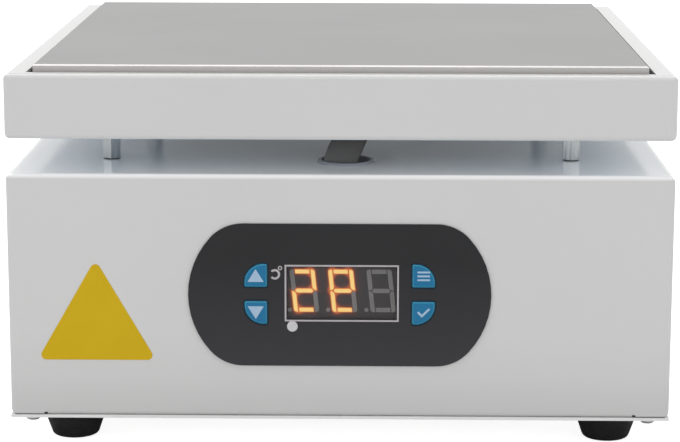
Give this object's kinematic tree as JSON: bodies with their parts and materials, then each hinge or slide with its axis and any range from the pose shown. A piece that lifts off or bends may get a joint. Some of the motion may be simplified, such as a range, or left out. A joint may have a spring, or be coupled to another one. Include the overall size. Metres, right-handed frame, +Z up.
{
  "type": "heating platform",
  "caption": "Square hot plate in a folded steel tray, on hex pillars above a steel control box with a digital panel, keys and rubber feet.",
  "frame": {"origin": "on the bench under the middle of the footprint, from the front keys to the rear rocker", "axes": "+Z up, the control panel faces -Y, +X to the right seen from the panel"},
  "size_m": [0.218, 0.225, 0.1278],
  "materials": {
    "hot_plate": "fine ground",
    "tube_steel": "heat darkened",
    "ceramic": "unglazed ceramic",
    "mat_fibre": "ceramic fibre",
    "bright_steel": "bright zinc plate",
    "painted_steel": "gloss powder coat",
    "base_steel": "satin powder coat",
    "foot_rubber": "matte",
    "grommet_grey": "smooth moulded",
    "sleeve_glass_fibre": "varnished braid",
    "lead_insulation": "glass fibre braid",
    "mains_insulation": "moulded PVC",
    "ribbon_grey": "flat cable",
    "overlay_black": "fine textured film",
    "smoked_window": "polished",
    "module_black": "moulded",
    "segment_lit": "glowing",
    "segment_dark": "diffusing",
    "lamp_white": "diffusing",
    "key_blue": "domed film",
    "switch_black": "moulded",
    "board_green": "solder mask",
    "brass_spacer": "turned",
    "iron_core": "lacquered",
    "sink_aluminium": "extruded",
    "block_green": "moulded",
    "inlet_black": "moulded",
    "rocker_red": "moulded"
  },
  "bodies": {
    "chassis": {"heating_plate": "hot_plate", "heater_elements": "tube_steel", "element_terminals": "ceramic", "element_clamps": "bright_steel", "clamp_screws": "bright_steel", "temperature_probe": "bright_steel", "probe_screw": "bright_steel", "insulation_mat": "mat_fibre", "heat_tray": "painted_steel", "plate_posts": "ceramic", "post_studs": "bright_steel", "hex_pillars": "bright_steel", "pillar_screws": "bright_steel", "pillar_washers": "bright_steel", "cable_grommets": "grommet_grey", "lead_sleeve": "sleeve_glass_fibre", "tray_leads": "lead_insulation", "heater_leads": "lead_insulation", "lower_cover": "painted_steel", "base_plate": "base_steel", "base_screws": "bright_steel", "rubber_feet": "foot_rubber", "foot_screws": "bright_steel", "hex_nuts": "bright_steel", "control_panel": "overlay_black", "display_window": "smoked_window", "display_module": "module_black", "lit_segments": "segment_lit", "unlit_segments": "segment_dark", "output_lamp": "lamp_white", "key_switches": "switch_black", "control_board": "board_green", "control_parts": "switch_black", "board_spacers": "brass_spacer", "board_screws": "bright_steel", "power_board": "board_green", "power_spacers": "brass_spacer", "power_screws": "bright_steel", "transformer": "iron_core", "heatsink": "sink_aluminium", "triac": "switch_black", "terminal_block": "block_green", "terminal_screws": "bright_steel", "ribbon_cable": "ribbon_grey", "mains_leads": "mains_insulation", "earth_stud": "brass_spacer", "inlet_housing": "inlet_black", "inlet_pins": "bright_steel", "inlet_screws": "bright_steel"},
    "up_key": {"key_up": "key_blue", "plunger_up": "switch_black"},
    "down_key": {"key_down": "key_blue", "plunger_down": "switch_black"},
    "set_key": {"key_set": "key_blue", "plunger_set": "switch_black"},
    "enter_key": {"key_enter": "key_blue", "plunger_enter": "switch_black"},
    "mains_rocker": {"rocker": "rocker_red"},
    "fuse_carrier": {"fuse_drawer": "inlet_black", "fuse": "bright_steel"}
  },
  "joints": [
    {"name": "up_key_press", "type": "slide", "parent": "chassis", "child": "up_key", "axis": [0, 1, 0], "range_m": [0, 0.0004], "stiffness_N_per_m": 400},
    {"name": "down_key_press", "type": "slide", "parent": "chassis", "child": "down_key", "axis": [0, 1, 0], "range_m": [0, 0.0004], "stiffness_N_per_m": 400},
    {"name": "set_key_press", "type": "slide", "parent": "chassis", "child": "set_key", "axis": [0, 1, 0], "range_m": [0, 0.0004], "stiffness_N_per_m": 400},
    {"name": "enter_key_press", "type": "slide", "parent": "chassis", "child": "enter_key", "axis": [0, 1, 0], "range_m": [0, 0.0004], "stiffness_N_per_m": 400},
    {"name": "mains_rocker_tilt", "type": "hinge", "parent": "chassis", "child": "mains_rocker", "pos_m": [0.058, 0.10705, 0.06415], "axis": [0, 0, 1], "range_deg": [-20, 0]},
    {"name": "fuse_drawer_slide", "type": "slide", "parent": "chassis", "child": "fuse_carrier", "axis": [0, 1, 0], "range_m": [0, 0.012]}
  ]
}
